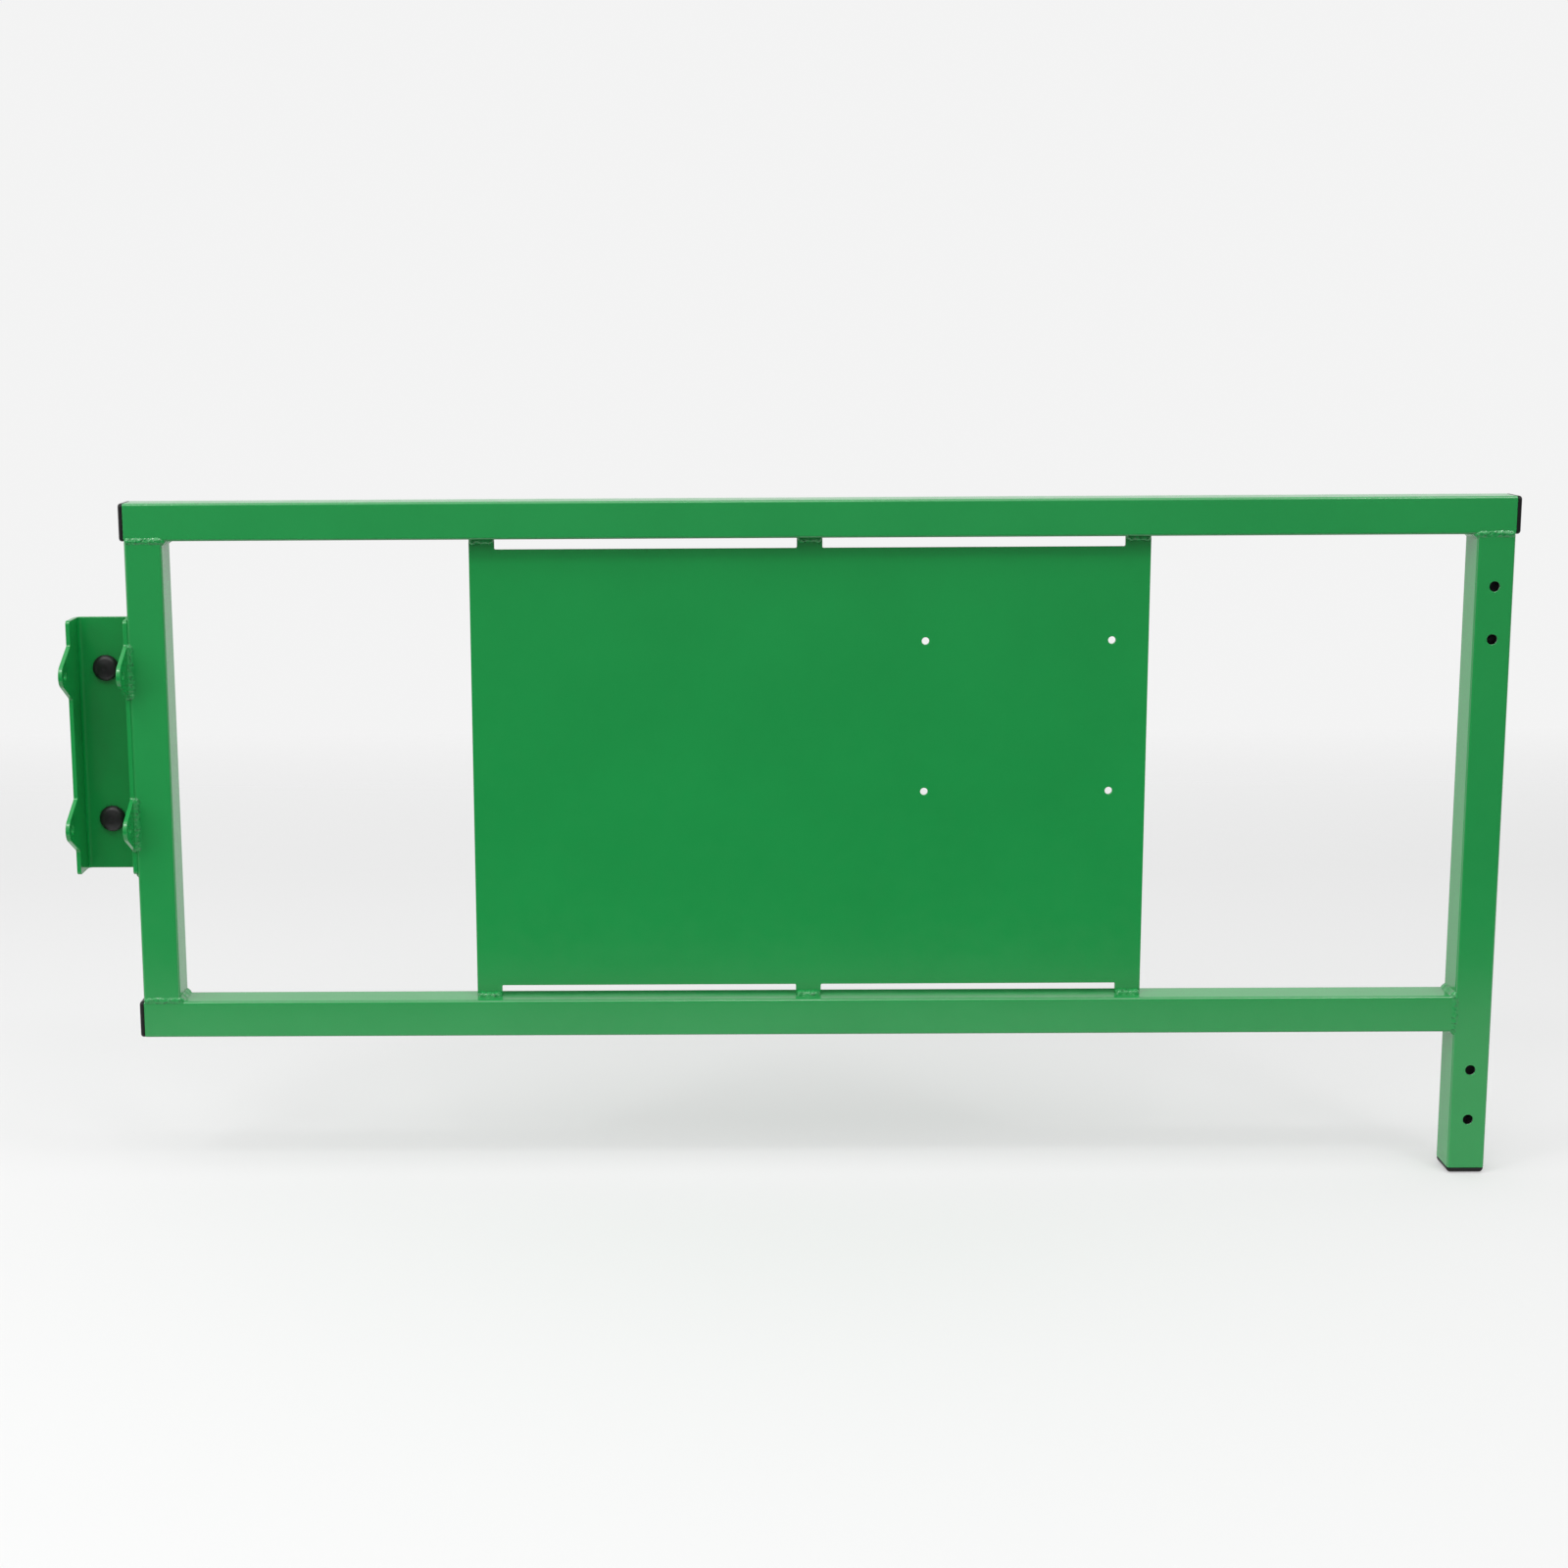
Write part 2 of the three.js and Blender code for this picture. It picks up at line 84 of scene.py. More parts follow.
def square_axes(axis):
    """The two axes across the given one, kept square to the gate."""
    side = X if abs(axis.x) < 0.5 else Y
    return side, axis.cross(side)


def gate_box(node):
    """A CAD node's box in millimetres of the gate's coordinates."""
    return [[(c - o) / MM for c, o in zip(corner, ORIGIN)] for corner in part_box(node)]


# ---------------------------------------------------------------- materials


def shader(name, colour, roughness, ior=1.5):
    material = bpy.data.materials.new(name)
    material.use_nodes = True
    tree = material.node_tree
    bsdf = tree.nodes["Principled BSDF"]
    bsdf.inputs["Base Color"].default_value = (*colour, 1)
    bsdf.inputs["Roughness"].default_value = roughness
    bsdf.inputs["IOR"].default_value = ior
    material.diffuse_color = (*colour, 1)
    coords = tree.nodes.new("ShaderNodeTexCoord")
    return material, tree, bsdf, coords.outputs["Object"]


def noise_node(tree, vector, scale, detail=2.0, roughness=0.5, stretch=None):
    """Noise with about as many spots to the metre as its scale."""
    if stretch:
        mapping = tree.nodes.new("ShaderNodeMapping")
        mapping.inputs["Scale"].default_value = stretch
        tree.links.new(vector, mapping.inputs["Vector"])
        vector = mapping.outputs["Vector"]
    node = tree.nodes.new("ShaderNodeTexNoise")
    node.inputs["Scale"].default_value = scale
    node.inputs["Detail"].default_value = detail
    node.inputs["Roughness"].default_value = roughness
    tree.links.new(vector, node.inputs["Vector"])
    return node.outputs["Fac"]


def remap(tree, value, low, high, start=0.3, end=0.7):
    """From low at start to high at end, and level beyond them."""
    node = tree.nodes.new("ShaderNodeMapRange")
    node.inputs["From Min"].default_value = start
    node.inputs["From Max"].default_value = end
    node.inputs["To Min"].default_value = low
    node.inputs["To Max"].default_value = high
    tree.links.new(value, node.inputs["Value"])
    return node.outputs["Result"]


def maths(tree, operation, first, second):
    node = tree.nodes.new("ShaderNodeMath")
    node.operation = operation
    for socket, value in zip(node.inputs, (first, second)):
        if isinstance(value, (int, float)):
            socket.default_value = value
        else:
            tree.links.new(value, socket)
    return node.outputs[0]


def mixed(tree, factor, first, second):
    node = tree.nodes.new("ShaderNodeMix")
    node.data_type = "RGBA"
    for socket, value in ((node.inputs["A"], first), (node.inputs["B"], second)):
        if isinstance(value, tuple):
            socket.default_value = (*value, 1)
        else:
            tree.links.new(value, socket)
    tree.links.new(factor, node.inputs["Factor"])
    return node.outputs["Result"]


def bumps(tree, bsdf, layers):
    """Stacks bump layers of (height, distance in metres, strength)."""
    normal = None
    for height, distance, strength in layers:
        node = tree.nodes.new("ShaderNodeBump")
        node.inputs["Distance"].default_value = distance
        node.inputs["Strength"].default_value = strength
        tree.links.new(height, node.inputs["Height"])
        if normal is not None:
            tree.links.new(normal, node.inputs["Normal"])
        normal = node.outputs["Normal"]
    tree.links.new(normal, bsdf.inputs["Normal"])


def green_paint(name, deep, main):
    """Semi-gloss powder coat with orange peel, and bare steel where the coat doesn't reach."""
    material, tree, bsdf, coords = shader(name, main, roughness=0.19, ior=1.58)
    cloud = noise_node(tree, coords, scale=9, detail=3)
    tone = mixed(tree, remap(tree, cloud, 0, 1), deep, main)
    grain = noise_node(tree, coords, scale=900, detail=1)
    tone = mixed(tree, remap(tree, grain, 0, 0.18), tone, GREEN_LIGHT)
    patches = noise_node(tree, coords, scale=55, detail=3)
    tree.links.new(remap(tree, patches, 0.16, 0.22), bsdf.inputs["Roughness"])
    bare = tree.nodes.new("ShaderNodeAttribute")
    bare.attribute_name = "bare"
    tree.links.new(mixed(tree, bare.outputs["Fac"], tone, BARE_STEEL), bsdf.inputs["Base Color"])
    peel = noise_node(tree, coords, scale=420, detail=1.5)
    fine = noise_node(tree, coords, scale=1300, detail=1)
    bumps(tree, bsdf, ((peel, 0.00008, 0.16), (fine, 0.00003, 0.14)))
    return material


def weld_paint():
    """The same powder coat flowed over weld metal: thicker and glossier, with specks of painted
    shade for pits.
    """
    name = "green_powder_coat_on_weld"
    material, tree, bsdf, coords = shader(name, GREEN, roughness=0.14, ior=1.54)
    cloud = noise_node(tree, coords, scale=160, detail=2)
    tone = mixed(tree, remap(tree, cloud, 0, 1), TUBES_PAINTED_SHEEN_GREEN_DEEP, GREEN_LIGHT)
    # Dark specks at random spots: painted shade, standing in for the shade in the weld's pits.
    pits = noise_node(tree, coords, scale=380, detail=1.5)
    tone = mixed(tree, remap(tree, pits, 0.65, 0, start=0.34, end=0.46), tone, GREEN_PIT_SHADE)
    tree.links.new(tone, bsdf.inputs["Base Color"])
    patches = noise_node(tree, coords, scale=220, detail=2)
    tree.links.new(remap(tree, patches, 0.08, 0.15), bsdf.inputs["Roughness"])
    lumps = noise_node(tree, coords, scale=480, detail=2)
    fine = noise_node(tree, coords, scale=1300, detail=1)
    bumps(tree, bsdf, ((lumps, 0.0004, 0.3), (fine, 0.00003, 0.2)))
    return material


def black_plastic():
    """Moulded polyethylene: a fine spark grain, and faint pale scuffs from handling."""
    name = "black_moulded_plastic"
    material, tree, bsdf, coords = shader(name, PLASTIC, roughness=0.45, ior=1.33)
    scuff = noise_node(tree, coords, scale=120, detail=4, roughness=0.65, stretch=(1, 1, 0.25))
    tone = mixed(tree, remap(tree, scuff, 0, 0.35, start=0.55, end=0.8), PLASTIC, PLASTIC_PALE)
    tree.links.new(tone, bsdf.inputs["Base Color"])
    patches = noise_node(tree, coords, scale=90, detail=2)
    tree.links.new(remap(tree, patches, 0.36, 0.5), bsdf.inputs["Roughness"])
    grain = noise_node(tree, coords, scale=2600, detail=1)
    bumps(tree, bsdf, ((grain, 0.00004, 0.5),))
    return material


def black_rubber():
    """Moulded rubber: dull, with a soft bloom and a fine stipple."""
    name = "black_moulded_rubber"
    material, tree, bsdf, coords = shader(name, RUBBER, roughness=0.36, ior=1.45)
    bloom = noise_node(tree, coords, scale=140, detail=3)
    tone = mixed(tree, remap(tree, bloom, 0, 0.5), RUBBER, RUBBER_PALE)
    tree.links.new(tone, bsdf.inputs["Base Color"])
    patches = noise_node(tree, coords, scale=200, detail=2)
    tree.links.new(remap(tree, patches, 0.3, 0.42), bsdf.inputs["Roughness"])
    grain = noise_node(tree, coords, scale=1800, detail=2)
    bumps(tree, bsdf, ((grain, 0.00006, 0.5),))
    return material


GREEN = (0.006, 0.268, 0.053)
GREEN_DEEP = (0.005, 0.252, 0.049)
GREEN_LIGHT = (0.012, 0.285, 0.066)
# Dark green of the painted shade in the weld's pits.
GREEN_PIT_SHADE = (0.003, 0.11, 0.026)
# The tubes' greens are slightly lighter, paler copies of the plate's greens: painted sheen.
TUBES_PAINTED_SHEEN_GREEN = (0.012, 0.274, 0.061)
TUBES_PAINTED_SHEEN_GREEN_DEEP = (0.01, 0.258, 0.056)
BARE_STEEL = (0.28, 0.27, 0.29)
PLASTIC = (0.006, 0.0059, 0.006)
PLASTIC_PALE = (0.022, 0.022, 0.023)
RUBBER = (0.009, 0.0085, 0.009)
RUBBER_PALE = (0.017, 0.016, 0.017)

PAINT = green_paint("green_powder_coat", GREEN_DEEP, GREEN)
# The same coat on the tubes, painted slightly lighter and paler: painted sheen.
TUBES_PAINTED_SHEEN_COAT = green_paint("green_powder_coat_with_painted_sheen", TUBES_PAINTED_SHEEN_GREEN_DEEP, TUBES_PAINTED_SHEEN_GREEN)
WELD = weld_paint()
CAP = black_plastic()
BUFFER = black_rubber()


# ---------------------------------------------------------------- mesh tools


def polygons(points, faces):
    bm = bmesh.new()
    verts = [bm.verts.new(p) for p in points]
    for face in faces:
        bm.faces.new([verts[i] for i in face])
    return bm


def skin(points, faces):
    """Polygons in the row frame, from points in gate millimetres."""
    return polygons([ORIGIN + Vector(p) * MM for p in points], faces)


def meshed(name, bm):
    mesh = bpy.data.meshes.new(name)
    bm.to_mesh(mesh)
    bm.free()
    return mesh


def linked(name, data):
    """A new object in the scene."""
    obj = bpy.data.objects.new(name, data)
    bpy.context.scene.collection.objects.link(obj)
    return obj


def piece(name, points, faces, material, nodes, sharp=None, bare=None):
    """A closed mesh from points in gate millimetres, riding on the gate in place of CAD nodes."""
    return finish_piece(name, skin(points, faces), material, nodes, sharp, bare)


def finish_piece(name, bm, material, nodes, sharp=None, bare=None):
    """Sharp is the crease angle in degrees, and bare tells how bare the steel is at a point."""
    bmesh.ops.remove_doubles(bm, verts=bm.verts, dist=1e-7)
    bmesh.ops.recalc_face_normals(bm, faces=bm.faces)
    mesh = meshed(name, bm)
    mesh.shade_smooth()
    if sharp is not None:
        mesh.set_sharp_from_angle(angle=math.radians(sharp))
    mesh.materials.append(material)
    if bare:
        marks = mesh.attributes.new("bare", "FLOAT", "POINT")
        for vert, mark in zip(mesh.vertices, marks.data):
            mark.value = bare((vert.co - ORIGIN) / MM)
    obj = linked(name, mesh)
    weighted = obj.modifiers.new("flat faces stay flat", "WEIGHTED_NORMAL")
    weighted.keep_sharp = True
    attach(obj, "root")
    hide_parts(*nodes)
    return obj


def arc(cu, cv, radius, start, end, steps):
    """Points of an arc in degrees, both ends included."""
    angles = [math.radians(start + (end - start) * i / steps) for i in range(steps + 1)]
    return [(cu + radius * math.cos(a), cv + radius * math.sin(a)) for a in angles]


def circle(cu, cv, radius, segments=40):
    """A hole: a clockwise circle."""
    angles = [2 * math.pi * i / segments for i in range(segments)]
    return [(cu + radius * math.cos(a), cv - radius * math.sin(a)) for a in angles]


def rounded_square(half, radius, steps=8):
    points = []
    centre = half - radius
    for k, (sx, sy) in enumerate(((1, 1), (-1, 1), (-1, -1), (1, -1))):
        for i in range(steps + 1):
            angle = math.pi / 2 * (k + i / steps)
            u = sx * centre + radius * math.cos(angle)
            v = sy * centre + radius * math.sin(angle)
            points.append((u, v))
    return points


def rings_to_faces(count, size, loop, first=0):
    faces = []
    for i in range(count if loop else count - 1):
        a, b = first + i * size, first + (i + 1) % count * size
        for j in range(size):
            k = (j + 1) % size
            faces.append((a + j, a + k, b + k, b + j))
    return faces


def end_caps(total, size):
    """Faces over the first and the last ring."""
    return [tuple(range(size)), tuple(range(total - size, total))]


def loft(rings, place, loop):
    """Joins rounded squares of (half side, corner radius, height) into one skin."""
    points = []
    for half, radius, w in rings:
        points += [place(u, v, w) for u, v in rounded_square(half, radius)]
    size = len(points) // len(rings)
    faces = rings_to_faces(len(rings), size, loop)
    if not loop:
        faces += end_caps(len(points), size)
    return points, faces


def lathe(profile, centre, axis, segments):
    """A turned form: profile of (radius, distance along the axis)."""
    side, other = square_axes(axis)
    points = []
    for radius, w in profile:
        for i in range(segments):
            angle = 2 * math.pi * i / segments
            offset = side * radius * math.cos(angle) + other * radius * math.sin(angle) + axis * w
            points.append(Vector(centre) + offset)
    faces = rings_to_faces(len(profile), segments, False)
    return points, faces + end_caps(len(points), segments)


# ---------------------------------------------------------------- square tubes


def tube_mesh(length, place):
    """Square tube whose cut ends have their burrs brushed off."""
    low, high, edge = TUBE / 2 - WALL, TUBE / 2, 0.8
    profile = []
    for cu, cv, start in (
        (high - edge, length - edge, 0),
        (low + edge, length - edge, 90),
        (low + edge, edge, 180),
        (high - edge, edge, 270),
    ):
        profile += arc(cu, cv, edge, start, start + 90, 3)
    rings = [(h, CORNER - (high - h), w) for h, w in profile]
    return loft(rings, place, True)


def along_x(node):
    (x0, y0, z0), (x1, y1, z1) = gate_box(node)
    cy, cz = (y0 + y1) / 2, (z0 + z1) / 2
    return x1 - x0, lambda u, v, w: (x0 + w, cy + u, cz + v), inside_of(cy, cz, 1, 2)


def along_z(node):
    (x0, y0, z0), (x1, y1, z1) = gate_box(node)
    cx, cy = (x0 + x1) / 2, (y0 + y1) / 2
    return z1 - z0, lambda u, v, w: (cx + u, cy + v, z0 + w), inside_of(cx, cy, 0, 1)


def inside_of(cu, cv, i, j):
    """Bare steel begins just inside any opening of the tube and is full within its wall."""
    painted, fade = 0.5, 1.2

    def bare(p):
        out = max(abs(p[i] - cu), abs(p[j] - cv))
        return min(1.0, max(0.0, (TUBE / 2 - painted - out) / fade))

    return bare


def cutter(profile, centre, axis):
    """A turned cutting tool."""
    bm = skin(*lathe(profile, centre, axis, segments=48))
    bmesh.ops.recalc_face_normals(bm, faces=bm.faces)
    return linked("cutter", meshed("cutter", bm))


def drilled(mesh, cutters):
    """The mesh less its cutters, with the cutters removed from the scene."""
    work = linked("work", mesh)
    for tool in cutters:
        cut = work.modifiers.new("cut", "BOOLEAN")
        cut.operation = "DIFFERENCE"
        cut.solver = "EXACT"
        cut.object = tool
    depsgraph = bpy.context.evaluated_depsgraph_get()
    made = bpy.data.meshes.new_from_object(work.evaluated_get(depsgraph))
    for obj in (work, *cutters):
        bpy.data.objects.remove(obj)
    return made


def hole_profile(radius, lip, front, back):
    """A straight hole whose rims at the front and back surfaces are rounded over by the lip."""
    reach = 2.0
    profile = [(radius + lip, front - reach), (radius + lip, front)]
    profile += arc(radius + lip, front + lip, lip, -90, -180, 4)[1:]
    profile += arc(radius + lip, back - lip, lip, 180, 90, 4)
    profile.append((radius + lip, back + reach))
    return profile


def leg_post():
    node = "leg_post"
    length, place, bare = along_z(node)
    (x0, y0, z0), (x1, y1, z1) = gate_box(node)
    bm = skin(*tube_mesh(length, place))
    bmesh.ops.recalc_face_normals(bm, faces=bm.faces)
    mesh = meshed("leg_post_blank", bm)
    lip = 0.5
    inner = BOLT_INSET + BOLT_PITCH
    tools = []
    for z in (z1 - BOLT_INSET + SEAT, z1 - inner + SEAT, z0 + inner, z0 + BOLT_INSET):
        tools.append(cutter(hole_profile(BOLT_HOLE / 2, lip, 0, TUBE), ((x0 + x1) / 2, 0, z), Y))
    made = drilled(mesh, tools)
    bm = bmesh.new()
    bm.from_mesh(made)
    finish_piece("leg_post_tube", bm, TUBES_PAINTED_SHEEN_COAT, [node], CREASE, bare)


for node, along in (("top_rail", along_x), ("bottom_rail", along_x), ("left_post", along_z)):
    length, place, bare = along(node)
    points, faces = tube_mesh(length, place)
    piece(node + "_tube", points, faces, TUBES_PAINTED_SHEEN_COAT, [node], CREASE, bare)
leg_post()


# ---------------------------------------------------------------- flat and pressed plate


def inset(loop, distance):
    """A closed loop moved to its left by the distance, corners mitred."""
    bluntest = 0.3  # keeps the miter of a very sharp corner short
    made = []
    for i, (u, v) in enumerate(loop):
        before = Vector(loop[i]) - Vector(loop[i - 1])
        after = Vector(loop[(i + 1) % len(loop)]) - Vector(loop[i])
        n1 = Vector((-before.y, before.x)).normalized()
        n2 = Vector((-after.y, after.x)).normalized()
        miter = (n1 + n2).normalized()
        made.append(Vector((u, v)) + miter * (distance / max(bluntest, miter.dot(n1))))
    return made


def sheet_mesh(loops, thickness, edge):
    """A plate with rounded edges. Its outline runs anticlockwise, its holes clockwise."""
    half = thickness / 2
    steps = 4
    turns = [math.pi / 2 / steps * i for i in range(steps + 1)]
    profile = [(edge * (1 - math.sin(t)), half - edge * (1 - math.cos(t))) for t in turns]
    profile += [(inward, -w) for inward, w in reversed(profile)]
    points, faces, fronts, backs = [], [], [], []
    for loop in loops:
        first = len(points)
        size = len(loop)
        for inward, w in profile:
            points += [(p.x, p.y, w) for p in inset(loop, inward)]
        faces += rings_to_faces(len(profile), size, False, first)
        fronts.append(list(range(first, first + size)))
        backs.append(list(range(len(points) - size, len(points))))
    for side in (fronts, backs):
        flat = [i for ring in side for i in ring]
        outline = [[Vector(points[i]) for i in ring] for ring in side]
        faces += [tuple(flat[i] for i in tri) for tri in tessellate_polygon(outline)]
    return points, faces


def middle_plate():
    (x0, y0, z0), (x1, y1, z1) = gate_box("middle_plate")
    depth, r, edge = NOTCH_DEPTH - SEAT, 1.4, 0.3
    loop = [(x0, z0)]
    for i in range(2):
        a = x0 + TAB + i * (NOTCH + TAB)
        b = a + NOTCH
        loop.append((a, z0))
        loop += arc(a + r, z0 + depth - r, r, 180, 90, 5)
        loop += arc(b - r, z0 + depth - r, r, 90, 0, 5)
        loop.append((b, z0))
    loop += [(x1, z0), (x1, z1)]
    for i in (1, 0):
        a = x0 + TAB + i * (NOTCH + TAB)
        b = a + NOTCH
        loop.append((b, z1))
        loop += arc(b - r, z1 - depth + r, r, 0, -90, 5)
        loop += arc(a + r, z1 - depth + r, r, -90, -180, 5)
        loop.append((a, z1))
    loop.append((x0, z1))
    radius, pitch_x, pitch_z, from_right, from_top = 4.0, 198, 163, 39, 111.7
    columns = (x1 - from_right - pitch_x, x1 - from_right)
    rows = (z1 - from_top, z1 - from_top - pitch_z)
    holes = [circle(x, z, radius) for x in columns for z in rows]
    points, faces = sheet_mesh([loop, *holes], y1 - y0, edge)
    points = [(u, (y0 + y1) / 2 - w, v) for u, v, w in points]
    piece("middle_plate_sheet", points, faces, PAINT, ["middle_plate"], CREASE)


def socket_bracket():
    """The bracket is cut flat and then bent.

    On the flat plate, u runs across from its middle, v is the height and w goes through it.
    """
    (x0, y0, z0), (x1, y1, z1) = gate_box("socket_bracket")
    t, bend, edge = BRACKET_PLATE, BRACKET_BEND, 0.7
    corner, root, nose = 4.0, 3.0, 13.0
    ear_half, reach = 28.5, 38.0
    pin_hole, stem_hole = 4.5, 5.3
    mid_z = (z0 + z1) / 2
    neutral = bend + t / 2
    web_half = (x1 - x0) / 2 - bend - t
    arc_length = neutral * math.pi / 2
    flange = y1 - bend - t
    edge_u = web_half + arc_length + flange

    tip = reach - nose
    slope = math.atan2(ear_half, tip) - math.asin(nose / math.hypot(tip, ear_half))
    root_length = root / math.tan((math.pi / 2 + slope) / 2)
    turn = math.degrees(slope)
    ear_z = (mid_z - EAR_PITCH / 2, mid_z + EAR_PITCH / 2)
    right = arc(edge_u - corner, z0 + corner, corner, -90, 0, 6)
    for centre in ear_z:
        low, high = centre - ear_half - root_length, centre + ear_half + root_length
        right += arc(edge_u + root, low, root, 180, 90 + turn, 5)
        right += arc(edge_u + tip, centre, nose, turn - 90, 90 - turn, 22)
        right += arc(edge_u + root, high, root, 270 - turn, 180, 5)
    right += arc(edge_u - corner, z1 - corner, corner, 0, 90, 6)
    loop = right + [(-u, v) for u, v in reversed(right)]
    holes = [circle(side * (edge_u + tip), z, pin_hole) for side in (-1, 1) for z in ear_z]
    holes += [circle(0, z, stem_hole) for z in ear_z]
    bm = polygons(*sheet_mesh([loop, *holes], t, edge))

    steps = 14
    for side in (-1, 1):
        for i in range(steps + 1):
            place = (side * (web_half + arc_length * i / steps), 0, 0)
            parts = [*bm.verts, *bm.edges, *bm.faces]
            bmesh.ops.bisect_plane(bm, geom=parts, dist=1e-5, plane_co=place, plane_no=(1, 0, 0))
    cx = (x0 + x1) / 2
    for vert in bm.verts:
        u, v, w = vert.co
        side, run = (1, u) if u > 0 else (-1, -u)
        if run <= web_half:
            x, y = run, y1 - t / 2 - w
        elif run <= web_half + arc_length:
            angle = (run - web_half) / neutral
            radius = neutral - w
            x = web_half + radius * math.sin(angle)
            y = y1 - t - bend + radius * math.cos(angle)
        else:
            x = web_half + neutral - w
            y = y1 - t - bend - (run - web_half - arc_length)
        vert.co = ORIGIN + Vector((cx + side * x, y, v)) * MM
    name = "socket_bracket"
    finish_piece(name + "_pressing", bm, PAINT, [name], CREASE)


middle_plate()
socket_bracket()


# ---------------------------------------------------------------- plastic and rubber fittings


def insert_mesh(head, edge, place):
    """A tube insert: crowned head with a rounded edge, and a hollow shank with sharp fins."""
    high = TUBE / 2
    rim = high - edge
    crown, steps = 0.5, 8
    inner_corner, corner = 1.4, 4.0
    rings = []
    for i in range(1, steps + 1):
        half = rim * i / steps
        rings.append((half, inner_corner * i / steps, -head + crown * (i / steps) ** 2))
    for u, w in arc(rim, -head + crown + edge, edge, -90, 0, steps)[1:]:
        rings.append((u, corner - (high - u), w))
    rings += [(high, corner, -0.25), (high - 0.25, corner - 0.2, 0.0)]
    shank, fin, bore, length = 16.3, 17.7, 13.8, 17.0
    corner, tip_corner = 1.2, 1.0
    rings.append((shank, corner, 0.0))
    for k in (4.5, 9.0, 13.5):
        rings += [
            (shank, corner, k),
            (fin - 0.2, corner, k),
            (fin, corner, k + 0.35),
            (fin, corner, k + 0.7),
            (shank, corner, k + 1.6),
        ]
    rings += [
        (shank, corner, 16.2),
        (shank - 0.6, tip_corner, length),
        (bore, tip_corner, length),
        (bore, tip_corner, -head / 3),
    ]
    return loft(rings, place, False)


def insert(node, head, edge, centre, outward):
    """Placed by the middle of the tube's end and the direction that the head faces."""
    side, other = square_axes(outward)

    def place(u, v, w):
        return Vector(centre) + side * u + other * v - outward * w

    points, faces = insert_mesh(head, edge, place)
    piece(node + "_moulding", points, faces, CAP, [node], SOFT_CREASE)


CAP_HEAD, CAP_EDGE = 5.0, 2.8
FOOT_HEAD, FOOT_EDGE = 6.0, 5.0
for node, head, edge, outward in (
    ("top_rail_left_cap", CAP_HEAD, CAP_EDGE, -X),
    ("top_rail_right_cap", CAP_HEAD, CAP_EDGE, X),
    ("bottom_rail_left_cap", CAP_HEAD, CAP_EDGE, -X),
    ("leg_foot_cap", FOOT_HEAD, FOOT_EDGE, -Z),
):
    low, high = (Vector(corner) for corner in gate_box(node))
    face = (low + high) / 2 + outward * abs((high - low).dot(outward)) / 2
    insert(node, head, edge, face - outward * head, outward)


def buffer_profile():
    """From the crown's middle over the head, and back along the stem and its barb.

    Distances run along +Y from the front of the bracket's web.
    """
    height, radius, edge, crown = 8.0, 14.0, 5.4, 0.9
    gate_mark, dip = 1.9, 0.1  # the moulding gate leaves a slight nub in a shallow ring
    profile = [(0.8, -height + 0.24), (1.5, -height + 0.22), (gate_mark, -height + dip)]
    inner = radius - edge
    steps = 8
    for i in range(1, steps + 1):
        r = gate_mark + (inner - gate_mark) * i / steps
        profile.append((r, -height + dip + (crown - dip) * (i / steps) ** 2.2))
    base = math.radians(9)
    steps = 12
    for i in range(1, steps + 1):
        angle = math.radians(9 + (90 - 9) * i / steps)
        profile.append((
            inner + edge * (math.sin(angle) - math.sin(base)) / (1 - math.sin(base)),
            -height + crown + (edge - 0.2) * (math.cos(base) - math.cos(angle)),
        ))
    rim_line, stem, barb, tip = 0.15, 5.0, 7.0, 12.8
    web = BRACKET_PLATE + SEAT
    profile += [(radius, -1.6), (radius - rim_line, -1.35), (radius, -1.1)]
    profile += [(radius, -0.5), (radius - 0.5, -SEAT), (stem, -SEAT)]
    profile += [(stem, web), (6.6, web), (barb, 5.3), (6.6, 7.0)]
    profile += [(4.6, 12.2), (4.0, tip), (1.0, tip)]
    return profile


for node in ("upper_buffer", "lower_buffer"):
    (x0, y0, z0), (x1, y1, z1) = gate_box(node)
    web = gate_box("socket_bracket")[1][1] - BRACKET_PLATE
    centre = ((x0 + x1) / 2, web, (z0 + z1) / 2)
    points, faces = lathe(buffer_profile(), centre, Y, segments=64)
    piece(node + "_moulding", points, faces, BUFFER, [node], SOFT_CREASE)


# ---------------------------------------------------------------- weld beads

SINK = 0.14  # how far a bead's toes lie below the steel's surface
STEP = 0.4  # between the places along a run
SIDE = TUBE - 2 * CORNER
TURN = CORNER * math.pi / 2
LAP = SIDE + TURN


def wander(x, seed):
    """Smooth noise from -1 to 1 along a run."""
    return noise.noise(Vector((x, seed * 7.31, seed * 1.7)))


def tube_stations(centre, side, away, start, stop):
    """Places round a tube's end, from its front face on by way of its side.

    Each is (distance, point, outward, away, flush); flush is 1 where the two faces are level.
    """
    half = SIDE / 2
    count = round((stop - start) / STEP)
    made = []
    for i in range(count + 1):
        s = start + (stop - start) * i / count
        quarter, run = divmod(s, LAP)
        if run < SIDE:
            u, v, nu, nv = run - half, -TUBE / 2, 0, -1
        else:
            angle = (run - SIDE) / CORNER
            nu, nv = math.sin(angle), -math.cos(angle)
            u, v = half + CORNER * nu, CORNER * nv - half
        for _ in range(int(quarter) % 4):
            u, v, nu, nv = -v, u, -nv, nu
        flush = nv * nv * (3 - 2 * abs(nv))
        made.append((s, Vector(centre) + side * u + Y * v, side * nu + Y * nv, away, flush))
    return made


def line_stations(centre, outward, away, length):
    """Places along a straight run in an inner corner."""
    along = outward.cross(away)
    count = round(length / STEP)
    made = []
    for i in range(count + 1):
        point = Vector(centre) + along * length * (i / count - 0.5)
        made.append((length * i / count, point, outward, away, 0.0))
    return made


